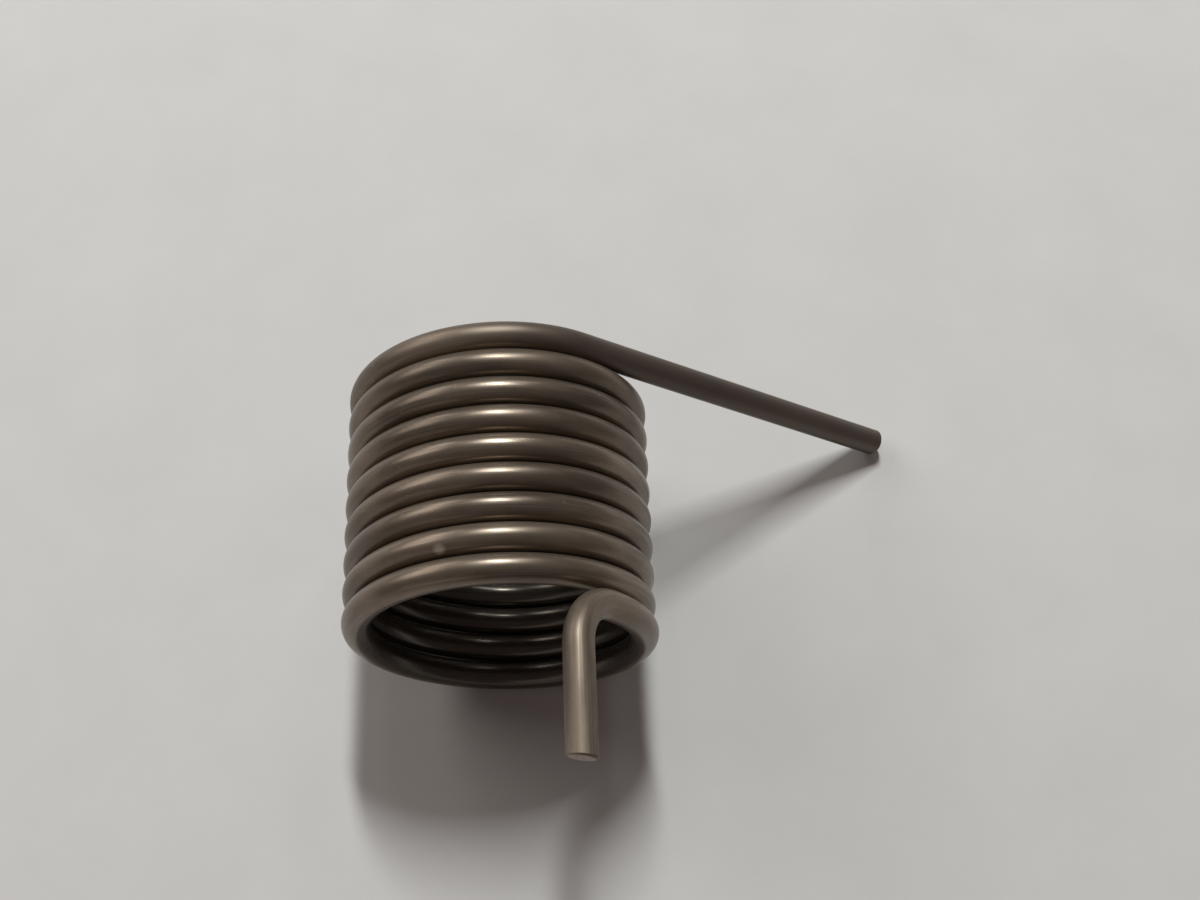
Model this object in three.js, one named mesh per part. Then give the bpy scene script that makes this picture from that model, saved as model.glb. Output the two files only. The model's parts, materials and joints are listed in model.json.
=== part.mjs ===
// Helical torsion spring, wound right-handed from one round steel wire. Millimetres, +Z up.
// The spring lies on its side. The coil's axis is parallel to Y. A long straight leg leaves the far end
// (+Y) as a tangent and slopes down to the ground on the right. At the near end (-Y) the wire opens out a
// little, bends a quarter turn and runs on parallel to the axis as a short leg.
// The wire is divided across its length into sections, so that each turn can take its share of the twist.
import * as THREE from "three";

// Driving dimensions. Angles round the coil are measured from +X towards +Z.
const WIRE_DIAMETER = 2.2;
const COIL_MEAN_RADIUS = 10.7;
const PITCH = 2.3;
const COIL_START = THREE.MathUtils.degToRad(53);
const COIL_SWEEP = THREE.MathUtils.degToRad(3231.4);
const TURN_SECTIONS = 9;
const STRAIGHT_LEG_LEAN = THREE.MathUtils.degToRad(0.5);
const LEAD_OUT_SWEEP = THREE.MathUtils.degToRad(70);
const LEAD_OUT_GROWTH = 0.8;
const END_BEND_RADIUS = 4.1;
const AXIAL_LEG_LENGTH = 7.9;
const AXIAL_LEG_RISE = THREE.MathUtils.degToRad(5);
const SECTION_GAP = 0.3;

// Facets: the wire's section has flats at its true diameter, one of them facing away from the coil's axis.
const SECTION_SIDES = 12;
const STEPS_PER_TURN = 32;
const STEPS_IN_BEND = 10;

const wireRadius = WIRE_DIAMETER / 2;
const coilEnd = COIL_START + COIL_SWEEP;
const coilAxisHeight = COIL_MEAN_RADIUS + wireRadius;

// The straight leg is as long as it takes for the lower rim of its cut end to reach the ground.
const straightLegLength =
  (coilAxisHeight + (COIL_MEAN_RADIUS - wireRadius) * Math.sin(COIL_START)) /
  (Math.cos(COIL_START) * Math.cos(STRAIGHT_LEG_LEAN));

// Directions in the plane of a turn: away from the axis, and round it.
const awayFromAxis = (angle) => new THREE.Vector3(Math.cos(angle), 0, Math.sin(angle));
const roundAxis = (angle) => new THREE.Vector3(-Math.sin(angle), 0, Math.cos(angle));

// How far an angle is into the stretch that opens out, from 0 at its start to 1 at the coil's end.
function leadOutShare(angle) {
  return Math.max(0, 1 - (coilEnd - angle) / LEAD_OUT_SWEEP);
}

function coilPoint(angle) {
  const radius = COIL_MEAN_RADIUS + LEAD_OUT_GROWTH * leadOutShare(angle) ** 2;
  const advance = (-PITCH * (angle - COIL_START)) / (2 * Math.PI);
  return awayFromAxis(angle)
    .multiplyScalar(radius)
    .add(new THREE.Vector3(0, advance, coilAxisHeight));
}

function coilTangent(angle) {
  const share = leadOutShare(angle);
  const radius = COIL_MEAN_RADIUS + LEAD_OUT_GROWTH * share ** 2;
  const growth = (2 * LEAD_OUT_GROWTH * share) / LEAD_OUT_SWEEP;
  return roundAxis(angle)
    .multiplyScalar(radius)
    .addScaledVector(awayFromAxis(angle), growth)
    .add(new THREE.Vector3(0, -PITCH / (2 * Math.PI), 0))
    .normalize();
}

// The direction square to the wire that is nearest to straight away from the axis.
function coilOutward(angle) {
  const tangent = coilTangent(angle);
  const away = awayFromAxis(angle);
  return away.addScaledVector(tangent, -away.dot(tangent)).normalize();
}

// A stretch of the wire. It is a curve that also knows which way its section's first flat faces.
class WireStretch extends THREE.Curve {
  constructor(pointAt, outwardAt) {
    super();
    this.pointAt = pointAt;
    this.outwardAt = outwardAt;
  }

  getPoint(t, target = new THREE.Vector3()) {
    return target.copy(this.pointAt(t));
  }

  computeFrenetFrames(steps) {
    const frames = { tangents: [], normals: [], binormals: [] };
    for (let i = 0; i <= steps; i++) {
      const u = i / steps;
      const tangent = this.getTangentAt(u);
      const outward = this.outwardAt(this.getUtoTmapping(u));
      const sideways = tangent.clone().cross(outward).normalize();
      frames.tangents.push(tangent);
      frames.normals.push(sideways.clone().cross(tangent));
      frames.binormals.push(sideways);
    }
    return frames;
  }
}

function straightLegStretch() {
  const start = coilPoint(COIL_START);
  const along = roundAxis(COIL_START)
    .multiplyScalar(Math.cos(STRAIGHT_LEG_LEAN))
    .add(new THREE.Vector3(0, -Math.sin(STRAIGHT_LEG_LEAN), 0));
  const length = straightLegLength - SECTION_GAP / 2;
  return new WireStretch(
    (t) => start.clone().addScaledVector(along, length * t - straightLegLength),
    () => awayFromAxis(COIL_START),
  );
}

function turnStretch(index) {
  const gapAngle = SECTION_GAP / COIL_MEAN_RADIUS;
  const first = COIL_START + (COIL_SWEEP * index) / TURN_SECTIONS + gapAngle / 2;
  const sweep = COIL_SWEEP / TURN_SECTIONS - gapAngle;
  return new WireStretch(
    (t) => coilPoint(first + sweep * t),
    (t) => coilOutward(first + sweep * t),
  );
}

// The quarter bend that turns the wire from the coil's end to the axial leg's direction.
const axialLegDirection = new THREE.Vector3(0, -Math.cos(AXIAL_LEG_RISE), Math.sin(AXIAL_LEG_RISE));
const bendAxis = coilTangent(coilEnd).cross(axialLegDirection).normalize();
const bendAngle = coilTangent(coilEnd).angleTo(axialLegDirection);
const bendSpoke = coilTangent(coilEnd).cross(bendAxis).multiplyScalar(END_BEND_RADIUS);
const bendCentre = coilPoint(coilEnd).sub(bendSpoke);

const bendPoint = (turned) => bendSpoke.clone().applyAxisAngle(bendAxis, turned).add(bendCentre);
const bendOutward = (turned) => coilOutward(coilEnd).applyAxisAngle(bendAxis, turned);

function endBendStretch() {
  const gapAngle = SECTION_GAP / END_BEND_RADIUS;
  const turnedAt = (t) => gapAngle / 2 + (bendAngle - gapAngle) * t;
  return new WireStretch(
    (t) => bendPoint(turnedAt(t)),
    (t) => bendOutward(turnedAt(t)),
  );
}

function axialLegStretch() {
  const start = bendPoint(bendAngle).addScaledVector(axialLegDirection, SECTION_GAP / 2);
  return new WireStretch(
    (t) => start.clone().addScaledVector(axialLegDirection, AXIAL_LEG_LENGTH * t),
    () => bendOutward(bendAngle),
  );
}

// The wire's section: a regular polygon whose flats, not corners, are one wire radius from the centre.
function wireSection() {
  const cornerRadius = wireRadius / Math.cos(Math.PI / SECTION_SIDES);
  const corners = [];
  for (let i = 0; i < SECTION_SIDES; i++) {
    const angle = (2 * Math.PI * (i + 0.5)) / SECTION_SIDES;
    corners.push(new THREE.Vector2(cornerRadius * Math.cos(angle), cornerRadius * Math.sin(angle)));
  }
  return new THREE.Shape(corners);
}

// Dark, lightly oiled steel wire. Where the wire was worked cold the surface is a little brighter.
function wireMaterial(color, roughness) {
  return new THREE.MeshStandardMaterial({ color, roughness, metalness: 0.9 });
}

function wireMesh(name, stretch, steps, material) {
  const geometry = new THREE.ExtrudeGeometry(wireSection(), {
    extrudePath: stretch,
    steps,
    bevelEnabled: false,
  });
  const mesh = new THREE.Mesh(geometry, material);
  mesh.name = name;
  return mesh;
}

const spring = new THREE.Group();
spring.add(wireMesh("straight_leg", straightLegStretch(), 1, wireMaterial(0x4a4039, 0.42)));
for (let i = 0; i < TURN_SECTIONS; i++) {
  spring.add(wireMesh(`coil_turn_${i + 1}`, turnStretch(i), STEPS_PER_TURN, wireMaterial(0x5e544a, 0.36)));
}
spring.add(wireMesh("end_bend", endBendStretch(), STEPS_IN_BEND, wireMaterial(0x6e635a, 0.36)));
spring.add(wireMesh("axial_leg", axialLegStretch(), 1, wireMaterial(0x6e635a, 0.4)));

// The part's origin is the bottom centre of the whole spring's box, on the ground it lies on.
const box = new THREE.Box3().setFromObject(spring);
const boxCentre = box.getCenter(new THREE.Vector3());
spring.position.set(-boxCentre.x, -boxCentre.y, -box.min.z);

const part = new THREE.Group();
part.add(spring);

export default part;
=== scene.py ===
"""A helical torsion spring of one dark steel wire, lying on its side on a pale floor.

The wire is one continuous mesh, swept along the same centreline as the CAD sections that it stands for. It
is truly round and has bevelled, sheared ends. All sizes are in metres.
"""
import json
import math

import bpy
import numpy as np
from mathutils import Matrix, Vector


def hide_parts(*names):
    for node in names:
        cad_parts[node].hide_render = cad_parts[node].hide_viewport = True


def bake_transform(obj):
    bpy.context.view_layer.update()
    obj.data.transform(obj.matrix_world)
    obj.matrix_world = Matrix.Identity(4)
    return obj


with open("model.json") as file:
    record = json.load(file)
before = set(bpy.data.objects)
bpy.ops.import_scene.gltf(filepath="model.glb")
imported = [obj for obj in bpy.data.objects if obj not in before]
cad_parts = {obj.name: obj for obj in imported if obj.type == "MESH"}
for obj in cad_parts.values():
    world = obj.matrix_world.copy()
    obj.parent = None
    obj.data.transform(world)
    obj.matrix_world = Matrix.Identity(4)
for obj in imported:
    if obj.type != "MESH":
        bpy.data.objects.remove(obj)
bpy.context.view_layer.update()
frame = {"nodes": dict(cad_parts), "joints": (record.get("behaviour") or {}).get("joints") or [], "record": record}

# --------------------------------------------------------------------------------------------------
# Driving dimensions, the same as the CAD part's. Angles round the coil are measured from +X towards +Z.
WIRE_RADIUS = 0.0011
PITCH = 0.0023
COIL_SWEEP = math.radians(3231.4)
LEAD_OUT_SWEEP = math.radians(70)
LEAD_OUT_GROWTH = 0.0008
END_BEND_RADIUS = 0.0041

# Places that the frame gives: the coil's axis, and each leg's end with the direction it points in.
mounts = {m["name"]: m for m in frame["record"]["mounts"]}
wind_up = next(j for j in frame["joints"] if j["name"] == "wind_up")
coil_axis = np.array(wind_up["pos_m"])
straight_tip = np.array(mounts["straight_leg_end"]["pos_m"])
straight_direction = np.array(mounts["straight_leg_end"]["axis"])
axial_tip = np.array(mounts["axial_leg_end"]["pos_m"])
axial_direction = np.array(mounts["axial_leg_end"]["axis"])

# The coil starts where the straight leg's line passes nearest to the coil's axis. The axis is parallel to Y,
# so a vector's part in the plane of a turn is the vector without its Y.
WITHOUT_Y = np.array([1.0, 0.0, 1.0])
in_turn_plane = straight_direction * WITHOUT_Y
tip_from_axis = (straight_tip - coil_axis) * WITHOUT_Y
straight_length = np.dot(tip_from_axis, in_turn_plane) / np.dot(in_turn_plane, in_turn_plane)
coil_start_point = straight_tip - straight_direction * straight_length
spoke = (coil_start_point - coil_axis) * WITHOUT_Y
COIL_RADIUS = float(np.linalg.norm(spoke))
COIL_START = math.atan2(spoke[2], spoke[0])
coil_end = COIL_START + COIL_SWEEP
far_end_centre = np.array([coil_axis[0], coil_start_point[1], coil_axis[2]])

# How finely the wire is drawn.
SIDES = 40
STEPS_PER_TURN = 110
BEND_STEPS = 30
LEG_STEP = 0.0008

# The sheared ends: a worn bevel that runs deeper on one side, and a cut face inside it. The axial leg's cut
# slants, so its short side is set back. Angles round the wire's section are measured from outward towards
# sideways.
STRAIGHT_CUT = {
    "bevel": 0.0002,
    "deep_side": math.radians(250),
    "setback": 0,
    "long_side": 0,
}
AXIAL_CUT = {
    "bevel": 0.00012,
    "deep_side": math.radians(300),
    "setback": 0.0004,
    "long_side": math.radians(5),
}
BEVEL_SLANT = 0.45  # how much deeper than its mean the bevel is on its deep side, as a share
BEVEL_MARGIN = 1.15  # the fine rings go on a little past the deepest bevel
CUT_FACE_SHARE = 0.84  # the cut face's radius as a share of the wire's
CUT_FACE_CROWN = 0.00004  # how far the cut face's centre stands proud
SETBACK_FADE = 0.002  # how far from the end the slant dies out
END_RINGS = 14  # the fine rings over a bevel
SHARP_EDGE = math.radians(24)


# --------------------------------------------------------------------------------------------------
# The centreline: stations that each hold a point, the direction along the wire and the outward direction.
def unit(v):
    return v / np.linalg.norm(v)


def turned(v, axis, angle):
    """v turned about axis by angle."""
    return np.array(Matrix.Rotation(angle, 3, Vector(axis)) @ Vector(v))


def away_from_axis(angle):
    return np.array([math.cos(angle), 0.0, math.sin(angle)])


def round_axis(angle):
    return np.array([-math.sin(angle), 0.0, math.cos(angle)])


def lead_out_share(angle):
    """From 0 where the coil's end starts to open out, to 1 at its end."""
    return max(0.0, 1.0 - (coil_end - angle) / LEAD_OUT_SWEEP)


def coil_station(angle):
    share = lead_out_share(angle)
    radius = COIL_RADIUS + LEAD_OUT_GROWTH * share**2
    growth = 2 * LEAD_OUT_GROWTH * share / LEAD_OUT_SWEEP
    advance = np.array([0.0, -PITCH / math.tau, 0.0])
    away = away_from_axis(angle)
    point = far_end_centre + radius * away + advance * (angle - COIL_START)
    along = unit(radius * round_axis(angle) + growth * away + advance)
    return point, along, unit(away - np.dot(away, along) * along)


def leg_distances(length, cut):
    """Distances from a leg's cut end to its other end, close together over the bevel."""
    bevel = cut["bevel"] * (1 + BEVEL_SLANT) * BEVEL_MARGIN
    fine = [bevel * i / END_RINGS for i in range(END_RINGS)]
    count = max(2, round((length - bevel) / LEG_STEP))
    return fine + [bevel + (length - bevel) * i / count for i in range(count)]


def wire_stations():
    """Every station from the straight leg's cut end to the axial leg's cut end."""
    stations = []
    outward = away_from_axis(COIL_START)
    for distance in leg_distances(straight_length, STRAIGHT_CUT):
        stations.append((straight_tip - straight_direction * distance, -straight_direction, outward))

    coil_steps = round(STEPS_PER_TURN * COIL_SWEEP / math.tau)
    for i in range(coil_steps + 1):
        stations.append(coil_station(COIL_START + COIL_SWEEP * i / coil_steps))

    start, along, outward = stations[-1]
    bend_axis = unit(np.cross(along, axial_direction))
    bend_angle = math.acos(float(np.clip(np.dot(along, axial_direction), -1, 1)))
    bend_spoke = END_BEND_RADIUS * np.cross(along, bend_axis)
    for i in range(1, BEND_STEPS + 1):
        angle = bend_angle * i / BEND_STEPS
        stations.append((
            start - bend_spoke + turned(bend_spoke, bend_axis, angle),
            turned(along, bend_axis, angle),
            turned(outward, bend_axis, angle),
        ))

    outward = stations[-1][2]
    axial_length = float(np.linalg.norm(axial_tip - stations[-1][0]))
    for distance in reversed(leg_distances(axial_length, AXIAL_CUT)):
        stations.append((axial_tip - axial_direction * distance, axial_direction, outward))
    return stations


# --------------------------------------------------------------------------------------------------
# The wire's mesh.
def end_radius(distance, angle, cut):
    """The wire's radius at a distance from a cut end, at an angle round the section."""
    depth = cut["bevel"] * (1 + BEVEL_SLANT * math.cos(angle - cut["deep_side"]))
    share = max(0.0, 1 - distance / depth)
    return WIRE_RADIUS * (1 - (1 - CUT_FACE_SHARE) * share)


def end_setback(distance, angle, cut):
    """How far the slanting cut moves the surface back along the wire."""
    fade = max(0.0, 1 - distance / SETBACK_FADE)
    return cut["setback"] * fade * (1 - math.cos(angle - cut["long_side"])) / 2


def wire_rings(stations):
    """The vertices of every ring, and each vertex's place on the wire: along it, outward and sideways."""
    points = np.array([s[0] for s in stations])
    steps = np.linalg.norm(np.diff(points, axis=0), axis=1)
    travelled = np.concatenate([[0.0], np.cumsum(steps)])
    total = travelled[-1]
    vertices, places = [], []
    for (point, along, outward), length in zip(stations, travelled):
        sideways = np.cross(along, outward)
        for side in range(SIDES):
            angle = math.tau * side / SIDES
            to_end = total - length
            radius = min(end_radius(length, angle, STRAIGHT_CUT), end_radius(to_end, angle, AXIAL_CUT))
            moved = end_setback(length, angle, STRAIGHT_CUT) - end_setback(to_end, angle, AXIAL_CUT)
            across = (radius * math.cos(angle), radius * math.sin(angle))
            vertices.append(point + across[0] * outward + across[1] * sideways + moved * along)
            places.append((length, across[0], across[1]))
    return vertices, places, total


def make_wire():
    stations = wire_stations()
    vertices, places, total = wire_rings(stations)
    ring_count = len(stations)
    faces = []
    for ring in range(ring_count - 1):
        for side in range(SIDES):
            after = (side + 1) % SIDES
            low, high = ring * SIDES, (ring + 1) * SIDES
            faces.append((low + side, low + after, high + after, high + side))
    wall_count = len(faces)

    # Each cut face is a fan round a centre that stands a little proud.
    for ring, cut, outwards in ((0, STRAIGHT_CUT, -1), (ring_count - 1, AXIAL_CUT, 1)):
        point, along, _ = stations[ring]
        centre = len(vertices)
        vertices.append(point + outwards * (CUT_FACE_CROWN - cut["setback"] / 2) * along)
        places.append((places[ring * SIDES][0], 0.0, 0.0))
        for side in range(SIDES):
            pair = (ring * SIDES + side, ring * SIDES + (side + 1) % SIDES)
            faces.append((centre, *(pair if outwards > 0 else reversed(pair))))

    mesh = bpy.data.meshes.new("spring_wire")
    mesh.from_pydata([tuple(v) for v in vertices], [], faces)
    mesh.attributes.new("wire_place", "FLOAT_VECTOR", "POINT").data.foreach_set(
        "vector", np.array(places, np.float32).ravel()
    )
    mesh.materials.append(wire_material(total))
    mesh.materials.append(cut_face_material())
    for polygon in mesh.polygons[wall_count:]:
        polygon.material_index = 1
    mesh.shade_smooth()
    mesh.set_sharp_from_angle(angle=SHARP_EDGE)
    wire = bpy.data.objects.new("spring_wire", mesh)
    bpy.context.scene.collection.objects.link(wire)
    return wire


# --------------------------------------------------------------------------------------------------
# Materials.
class Nodes:
    """A short way to add and join shader nodes."""

    def __init__(self, tree):
        self.tree = tree
        tree.nodes.clear()

    def add(self, kind, **settings):
        node = self.tree.nodes.new(kind)
        for name, value in settings.items():
            setattr(node, name, value)
        return node

    def join(self, source, target):
        self.tree.links.new(source, target)

    def math(self, operation, a, b):
        node = self.add("ShaderNodeMath", operation=operation)
        for socket, value in zip(node.inputs, (a, b)):
            self.feed(socket, value)
        return node.outputs[0]

    def feed(self, socket, value):
        if isinstance(value, bpy.types.NodeSocket):
            self.join(value, socket)
        else:
            socket.default_value = value

    def noise(self, vector, scale, detail, roughness):
        """3-D noise over vector. scale is the waves per metre on each of the vector's axes."""
        mapping = self.add("ShaderNodeMapping")
        mapping.inputs["Scale"].default_value = scale
        self.join(vector, mapping.inputs["Vector"])
        node = self.add("ShaderNodeTexNoise")
        node.inputs["Scale"].default_value = 1.0
        node.inputs["Detail"].default_value = detail
        node.inputs["Roughness"].default_value = roughness
        self.join(mapping.outputs["Vector"], node.inputs["Vector"])
        return node.outputs["Fac"]

    def fit(self, value, low, high, to_low, to_high):
        """value mapped from the range low..high to to_low..to_high, and held at its ends."""
        node = self.add("ShaderNodeMapRange")
        self.join(value, node.inputs["Value"])
        names = ("From Min", "From Max", "To Min", "To Max")
        for name, number in zip(names, (low, high, to_low, to_high)):
            node.inputs[name].default_value = number
        return node.outputs["Result"]

    def bump(self, height, strength, distance):
        node = self.add("ShaderNodeBump")
        node.inputs["Strength"].default_value = strength
        node.inputs["Distance"].default_value = distance
        self.join(height, node.inputs["Height"])
        return node.outputs["Normal"]

    def blend(self, share, a, b):
        node = self.add("ShaderNodeMix", data_type="RGBA")
        self.feed(node.inputs["Factor"], share)
        self.feed(node.inputs["A"], a)
        self.feed(node.inputs["B"], b)
        return node.outputs["Result"]


def new_material(name):
    material = bpy.data.materials.new(name)
    material.use_nodes = True
    nodes = Nodes(material.node_tree)
    shader = nodes.add("ShaderNodeBsdfPrincipled")
    output = nodes.add("ShaderNodeOutputMaterial")
    nodes.join(shader.outputs["BSDF"], output.inputs["Surface"])
    return material, nodes, shader


STEEL = (0.225, 0.176, 0.133, 1)
STEEL_DARK = (0.125, 0.097, 0.073, 1)
STEEL_BRIGHT = (0.33, 0.28, 0.23, 1)
STEEL_LEG = (0.105, 0.078, 0.066, 1)
# Painted shade for the inner-facing half of the coil's wire.
STEEL_INSIDE_PAINTED_SHADE = (0.060, 0.056, 0.048, 1)
CUT_STEEL = (0.40, 0.35, 0.31, 1)
SCUFF = (0.62, 0.53, 0.42, 1)
PAPER = (0.68, 0.66, 0.645, 1)
PAPER_SHADE = (0.60, 0.58, 0.565, 1)

# Where the finish changes, as lengths along the wire. The first turn's pair is measured from the straight
# leg's cut end, the next two pairs back from the axial leg's. Each pair is where a change starts and ends.
FIRST_TURN_DULL = (0.045, 0.13)
COIL_INSIDE_END = (0.022, 0.016)
AXIAL_LEG_DULL = (0.014, 0.004)

# The straight leg's darker colour fades out over this length of the first turn.
LEG_SKIN_FADE = 0.008

# The painted shade inside the coil comes in between these distances outward from the wire's centre.
INSIDE_PAINTED_SHADE = (0.0002, -0.0004)

# The scuff: its place along the wire, outward and sideways, and the radii between which it fades out.
SCUFF_PLACE = (0.5134, 0.0008, -0.0007)
SCUFF_RADII = (0.0002, 0.0005)


def wire_material(total):
    """Dark drawn steel under a thin film of oil. total is the wire's whole length."""
    material, nodes, shader = new_material("spring_wire")
    place = nodes.add("ShaderNodeAttribute", attribute_name="wire_place").outputs["Vector"]
    parts = nodes.add("ShaderNodeSeparateXYZ")
    nodes.join(place, parts.inputs[0])
    length, outward = parts.outputs[0], parts.outputs[1]

    lines = nodes.noise(place, (70, 9000, 9000), detail=3, roughness=0.6)
    patches = nodes.noise(place, (120, 500, 500), detail=4, roughness=0.6)
    long_patches = nodes.noise(place, (28, 260, 260), detail=2, roughness=0.5)
    specks = nodes.noise(place, (2600, 2600, 2600), detail=2, roughness=0.5)

    # Rubbed lines and specks show brighter through the film.
    color = nodes.blend(nodes.fit(patches, 0.36, 0.66, 0, 1), STEEL_DARK, STEEL)
    most_rubbed = nodes.fit(long_patches, 0.4, 0.65, 0.15, 0.8)
    rubbed = nodes.math("MULTIPLY", nodes.fit(lines, 0.55, 0.75, 0, 1), most_rubbed)
    color = nodes.blend(rubbed, color, STEEL_BRIGHT)
    color = nodes.blend(nodes.fit(specks, 0.70, 0.78, 0, 0.6), color, STEEL_BRIGHT)

    # The straight leg is darker. The inside of the coil is darkened with painted shade.
    on_leg = nodes.fit(length, straight_length, straight_length + LEG_SKIN_FADE, 0.75, 0)
    color = nodes.blend(on_leg, color, STEEL_LEG)
    coil_inside_end = [total - back for back in COIL_INSIDE_END]
    in_coil = nodes.fit(length, *coil_inside_end, 1, 0)
    # Painted shade: the inner-facing half of each turn is darkened towards a dark neutral colour.
    inside_painted_shade = nodes.math("MULTIPLY", in_coil, nodes.fit(outward, *INSIDE_PAINTED_SHADE, 0, 0.7))
    color = nodes.blend(inside_painted_shade, color, STEEL_INSIDE_PAINTED_SHADE)

    # One small pale scuff on the eighth turn, low on its near flank.
    to_scuff = nodes.add("ShaderNodeVectorMath", operation="DISTANCE")
    nodes.join(place, to_scuff.inputs[0])
    to_scuff.inputs[1].default_value = SCUFF_PLACE
    scuffed = nodes.fit(to_scuff.outputs["Value"], *SCUFF_RADII, 0.6, 0)
    color = nodes.blend(scuffed, color, SCUFF)
    nodes.join(color, shader.inputs["Base Color"])

    # The wire is duller where it was gripped and bent: the first turn and the axial leg.
    worked_start = nodes.fit(length, *FIRST_TURN_DULL, 0.13, 0)
    axial_leg_dull = [total - back for back in AXIAL_LEG_DULL]
    worked_end = nodes.fit(length, *axial_leg_dull, 0.02, 0.30)
    worked = nodes.math("ADD", worked_start, worked_end)

    roughness = nodes.math("ADD", worked, nodes.fit(long_patches, 0.3, 0.7, 0.34, 0.27))
    roughness = nodes.math("ADD", roughness, nodes.fit(lines, 0.3, 0.7, 0.04, -0.04))
    roughness = nodes.math("SUBTRACT", roughness, nodes.math("MULTIPLY", inside_painted_shade, 0.08))
    nodes.join(roughness, shader.inputs["Roughness"])

    relief = nodes.math("ADD", lines, nodes.math("MULTIPLY", specks, 0.35))
    nodes.join(nodes.bump(relief, strength=0.18, distance=0.00003), shader.inputs["Normal"])
    shader.inputs["Metallic"].default_value = 0.65
    return material


def cut_face_material():
    """The sheared end faces: smeared, rough and a little brighter than the drawn surface."""
    material, nodes, shader = new_material("cut_face")
    place = nodes.add("ShaderNodeAttribute", attribute_name="wire_place").outputs["Vector"]
    smears = nodes.noise(place, (1, 2200, 9000), detail=4, roughness=0.7)
    grains = nodes.noise(place, (1, 12000, 12000), detail=2, roughness=0.5)
    color = nodes.blend(nodes.fit(smears, 0.35, 0.65, 0, 1), STEEL, CUT_STEEL)
    nodes.join(color, shader.inputs["Base Color"])
    nodes.join(nodes.fit(grains, 0.3, 0.7, 0.42, 0.6), shader.inputs["Roughness"])
    relief = nodes.math("ADD", smears, grains)
    nodes.join(nodes.bump(relief, strength=0.6, distance=0.00005), shader.inputs["Normal"])
    shader.inputs["Metallic"].default_value = 0.9
    return material


def floor_material():
    """Pale, matt paper with a faint mottle."""
    material, nodes, shader = new_material("paper_floor")
    place = nodes.add("ShaderNodeTexCoord").outputs["Object"]
    mottle = nodes.noise(place, (90, 90, 90), detail=5, roughness=0.6)
    nodes.join(nodes.blend(mottle, PAPER_SHADE, PAPER), shader.inputs["Base Color"])
    shader.inputs["Roughness"].default_value = 0.85
    shader.inputs["Specular IOR Level"].default_value = 0.2
    return material


# --------------------------------------------------------------------------------------------------
# The stage: floor, lights and camera.
LIGHT_DISTANCE = 0.7
FLOOR_REACH = 0.55
ROOM_COLOR = (0.096, 0.077, 0.073, 1)
BACKGROUND_COLOR = (0.6, 0.59, 0.58, 1)
COOL = (0.945, 0.99, 0.98)
WHITE = (1, 1, 1)
WARM = (1.0, 0.97, 0.94)
WARMER = (1.0, 0.95, 0.92)

# The camera: its place from the coil's far end in coil radii, and where it looks.
CAMERA_PLACE = (0.604, -5.151, 9.898)
CAMERA_YAW = math.radians(1.81)
CAMERA_PITCH = math.radians(64.56)
CAMERA_ROLL = math.radians(-0.256)
SENSOR_WIDTH = 36  # mm
FOCAL_LENGTH = 44.24  # mm


def make_floor():
    reach = FLOOR_REACH
    corners = [(-reach, -reach, 0), (reach, -reach, 0), (reach, reach, 0), (-reach, reach, 0)]
    mesh = bpy.data.meshes.new("floor")
    mesh.from_pydata(corners, [], [(0, 1, 2, 3)])
    mesh.materials.append(floor_material())
    floor = bpy.data.objects.new("floor", mesh)
    bpy.context.scene.collection.objects.link(floor)


def make_light(name, azimuth, elevation, width, height, watts, color, tilt=0):
    """A soft light that faces the spring. All angles are in degrees, as seen from the spring.

    azimuth is measured from +Y (behind the spring) towards +X. width and height are the angles that the
    light covers. tilt leans its top towards +X.
    """
    data = bpy.data.lights.new(name, "AREA")
    data.shape = "RECTANGLE"
    data.size = 2 * LIGHT_DISTANCE * math.tan(math.radians(width / 2))
    data.size_y = 2 * LIGHT_DISTANCE * math.tan(math.radians(height / 2))
    data.energy = watts
    data.color = color
    light = bpy.data.objects.new(name, data)
    turn = (
        Matrix.Rotation(math.radians(-azimuth), 4, "Z")
        @ Matrix.Rotation(math.radians(elevation - 90), 4, "X")
        @ Matrix.Rotation(math.radians(tilt), 4, "Z")
    )
    back_away = Matrix.Translation((0, 0, LIGHT_DISTANCE))
    light.matrix_world = Matrix.Translation(Vector(coil_axis)) @ turn @ back_away
    bpy.context.scene.collection.objects.link(light)


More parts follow.
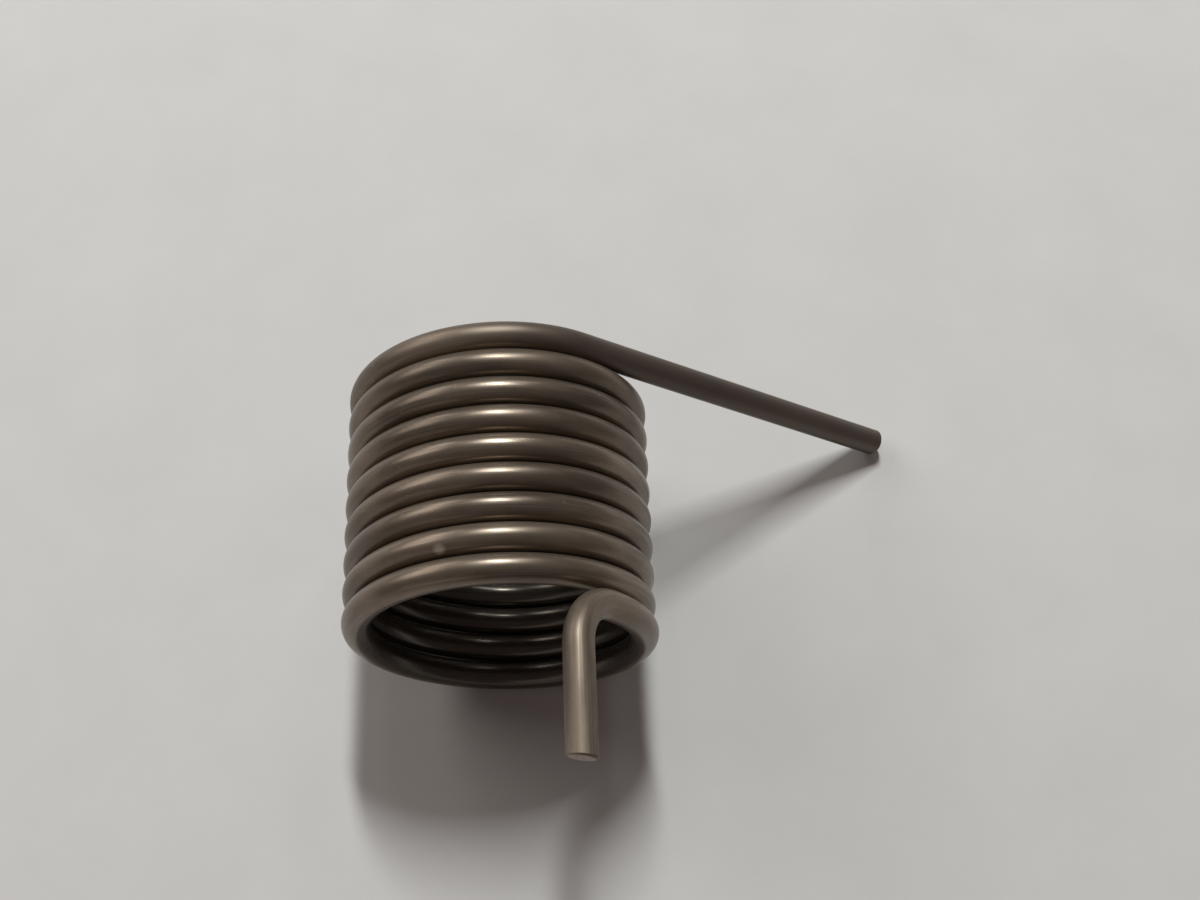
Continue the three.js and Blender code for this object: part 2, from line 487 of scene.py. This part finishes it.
def make_world():
    """A dim room. The camera itself sees a plain pale background."""
    world = bpy.data.worlds.new("room")
    world.use_nodes = True
    nodes = Nodes(world.node_tree)
    seen = nodes.add("ShaderNodeLightPath").outputs["Is Camera Ray"]
    background = nodes.add("ShaderNodeBackground")
    nodes.join(nodes.blend(seen, ROOM_COLOR, BACKGROUND_COLOR), background.inputs["Color"])
    output = nodes.add("ShaderNodeOutputWorld")
    nodes.join(background.outputs[0], output.inputs["Surface"])
    bpy.context.scene.world = world


def make_camera():
    """Looks down on the spring from above its near end."""
    place = far_end_centre + COIL_RADIUS * np.array(CAMERA_PLACE)
    ahead = Vector((math.sin(CAMERA_YAW), math.cos(CAMERA_YAW), 0))
    forward = ahead * math.cos(CAMERA_PITCH) - Vector((0, 0, math.sin(CAMERA_PITCH)))
    right = Vector((math.cos(CAMERA_YAW), -math.sin(CAMERA_YAW), 0))
    up = right.cross(forward)
    rolled_right = right * math.cos(CAMERA_ROLL) + up * math.sin(CAMERA_ROLL)
    rolled_up = up * math.cos(CAMERA_ROLL) - right * math.sin(CAMERA_ROLL)
    turn = Matrix((rolled_right, rolled_up, -forward)).transposed()
    data = bpy.data.cameras.new("camera")
    data.sensor_width = SENSOR_WIDTH
    data.lens = FOCAL_LENGTH
    data.clip_start = 0.001
    camera = bpy.data.objects.new("camera", data)
    camera.matrix_world = Matrix.Translation(Vector(place)) @ turn.to_4x4()
    bpy.context.scene.collection.objects.link(camera)
    bpy.context.scene.camera = camera


make_camera()
make_floor()
make_light("key", azimuth=4.5, elevation=57, width=4, height=17, watts=3.6, color=COOL, tilt=22)
make_light("left_of_key", azimuth=-15, elevation=56, width=5, height=5, watts=0.11, color=WHITE)
make_light("right_of_key", azimuth=19.5, elevation=40, width=6, height=6, watts=0.20, color=WHITE)
make_light("left_window", azimuth=-63, elevation=33, width=28, height=28, watts=1.0, color=WARM)
make_light("far_left_window", azimuth=-35, elevation=26, width=16, height=16, watts=0.45, color=WARM)
make_light("front_fill", azimuth=-148, elevation=14, width=46, height=18, watts=0.17, color=WARMER)
make_world()
bpy.context.scene.view_settings.view_transform = "Standard"

wire = make_wire()
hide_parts(*frame["nodes"])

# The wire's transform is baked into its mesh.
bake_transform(wire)
